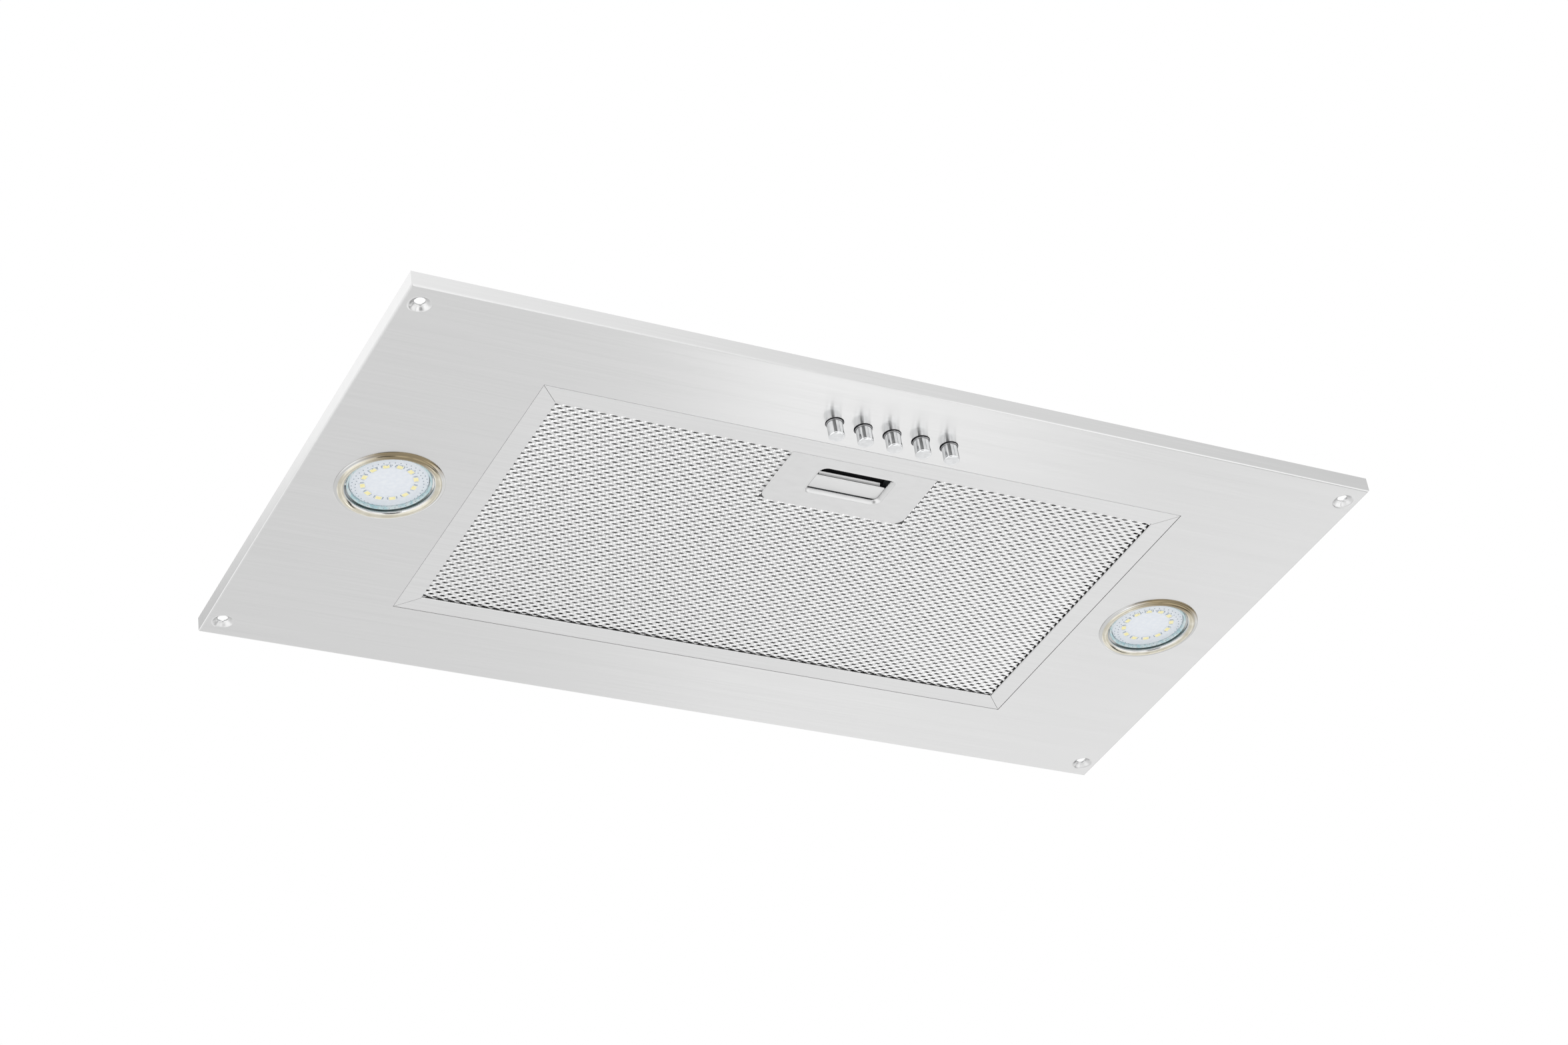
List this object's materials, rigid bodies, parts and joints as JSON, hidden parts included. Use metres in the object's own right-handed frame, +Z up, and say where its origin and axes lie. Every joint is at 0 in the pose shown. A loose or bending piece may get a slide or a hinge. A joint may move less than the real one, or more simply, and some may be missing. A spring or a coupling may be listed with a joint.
{
  "type": "undermount range hood",
  "caption": "Undermount range hood insert: brushed fascia with a hinged mesh grease filter, push buttons and round LED lamps, under a low blower box with a round duct collar.",
  "frame": {"origin": "centre of the fascia's visible face, in the plane of that face", "axes": "+X to the right of someone who stands at the hob, +Y to the wall, +Z up into the cabinet"},
  "size_m": [0.52, 0.281, 0.1422],
  "materials": {
    "stainless": "fine brushed",
    "galvanised": "galvanised",
    "chrome": "polished",
    "nickel": "satin",
    "aluminium": "bare",
    "mesh": "expanded mesh",
    "glass": "clear",
    "board": "white solder mask",
    "ceramic": "glazed ceramic",
    "motor_paint": "semi gloss",
    "stator": "varnished windings",
    "brass": "bare",
    "rubber": "matt",
    "black_plastic": "fine grained",
    "white_plastic": "fine grained",
    "spring_steel": "bright drawn",
    "zinc": "zinc plated",
    "cable": "PVC"
  },
  "bodies": {
    "hood": {"fascia_panel": "stainless", "chamber_walls": "galvanised", "blower_deck": "galvanised", "blower_box": "galvanised", "inlet_ring": "galvanised", "scroll_housing": "galvanised", "motor_mount": "galvanised", "motor_grommets": "rubber", "motor_can": "motor_paint", "motor_stator": "stator", "motor_bearings": "brass", "duct_spigot": "galvanised", "damper_rod": "zinc", "junction_box": "black_plastic", "junction_lid": "black_plastic", "terminal_block": "white_plastic", "cable_gland": "black_plastic", "capacitor": "aluminium", "led_driver": "white_plastic", "switch_body": "black_plastic", "switch_lid": "black_plastic", "switch_terminals": "brass", "switch_bracket": "galvanised", "button_collars": "chrome", "wiring_loom": "cable", "case_screws": "zinc", "button_spring_1": "spring_steel", "button_spring_2": "spring_steel", "button_spring_3": "spring_steel", "button_spring_4": "spring_steel", "button_spring_5": "spring_steel", "lamp_ring_left": "nickel", "lamp_glass_left": "glass", "lamp_board_left": "board", "lamp_base_left": "ceramic", "lamp_holder_left": "ceramic", "lamp_bracket_left": "galvanised", "lamp_ring_right": "nickel", "lamp_glass_right": "glass", "lamp_board_right": "board", "lamp_base_right": "ceramic", "lamp_holder_right": "ceramic", "lamp_bracket_right": "galvanised"},
    "button_1": {"button_1": "chrome"},
    "button_2": {"button_2": "chrome"},
    "button_3": {"button_3": "chrome"},
    "button_4": {"button_4": "chrome"},
    "button_5": {"button_5": "chrome"},
    "filter": {"filter_frame": "aluminium", "filter_mesh_lower": "mesh", "filter_core": "mesh", "filter_mesh_upper": "mesh", "latch_plate": "aluminium", "latch_housing": "galvanised", "latch_spring": "spring_steel"},
    "filter_latch": {"latch_slider": "aluminium"},
    "fan": {"fan_wheel": "galvanised", "motor_shaft": "spring_steel"},
    "damper_front": {"damper_flap_front": "galvanised"},
    "damper_back": {"damper_flap_back": "galvanised"}
  },
  "joints": [
    {"name": "button_1_press", "type": "slide", "parent": "hood", "child": "button_1", "axis": [0, 0, 1], "range_m": [0, 0.004], "stiffness_N_per_m": 200, "springref_m": -0.004, "deforming": ["button_spring_1"]},
    {"name": "button_2_press", "type": "slide", "parent": "hood", "child": "button_2", "axis": [0, 0, 1], "range_m": [0, 0.004], "stiffness_N_per_m": 200, "springref_m": -0.004, "deforming": ["button_spring_2"]},
    {"name": "button_3_press", "type": "slide", "parent": "hood", "child": "button_3", "axis": [0, 0, 1], "range_m": [0, 0.004], "stiffness_N_per_m": 200, "springref_m": -0.004, "deforming": ["button_spring_3"]},
    {"name": "button_4_press", "type": "slide", "parent": "hood", "child": "button_4", "axis": [0, 0, 1], "range_m": [0, 0.004], "stiffness_N_per_m": 200, "springref_m": -0.004, "deforming": ["button_spring_4"]},
    {"name": "button_5_press", "type": "slide", "parent": "hood", "child": "button_5", "axis": [0, 0, 1], "range_m": [0, 0.004], "stiffness_N_per_m": 200, "springref_m": -0.004, "deforming": ["button_spring_5"]},
    {"name": "filter_hinge", "type": "hinge", "parent": "hood", "child": "filter", "pos_m": [0, 0.0931, 0], "axis": [1, 0, 0], "range_deg": [0, 75]},
    {"name": "latch_slide", "type": "slide", "parent": "filter", "child": "filter_latch", "axis": [0, 1, 0], "range_m": [0, 0.005], "stiffness_N_per_m": 300, "springref_m": -0.004, "deforming": ["latch_spring"]},
    {"name": "fan_spin", "type": "hinge", "parent": "hood", "child": "fan", "pos_m": [-0.062, 0.04495, 0.07], "axis": [0, 0, 1], "continuous": true},
    {"name": "damper_front_hinge", "type": "hinge", "parent": "hood", "child": "damper_front", "pos_m": [0.083, 0.05945, 0.113], "axis": [-1, 0, 0], "range_deg": [0, 75]},
    {"name": "damper_back_hinge", "type": "hinge", "parent": "hood", "child": "damper_back", "pos_m": [0.083, 0.05945, 0.113], "axis": [1, 0, 0], "range_deg": [0, 75]}
  ]
}
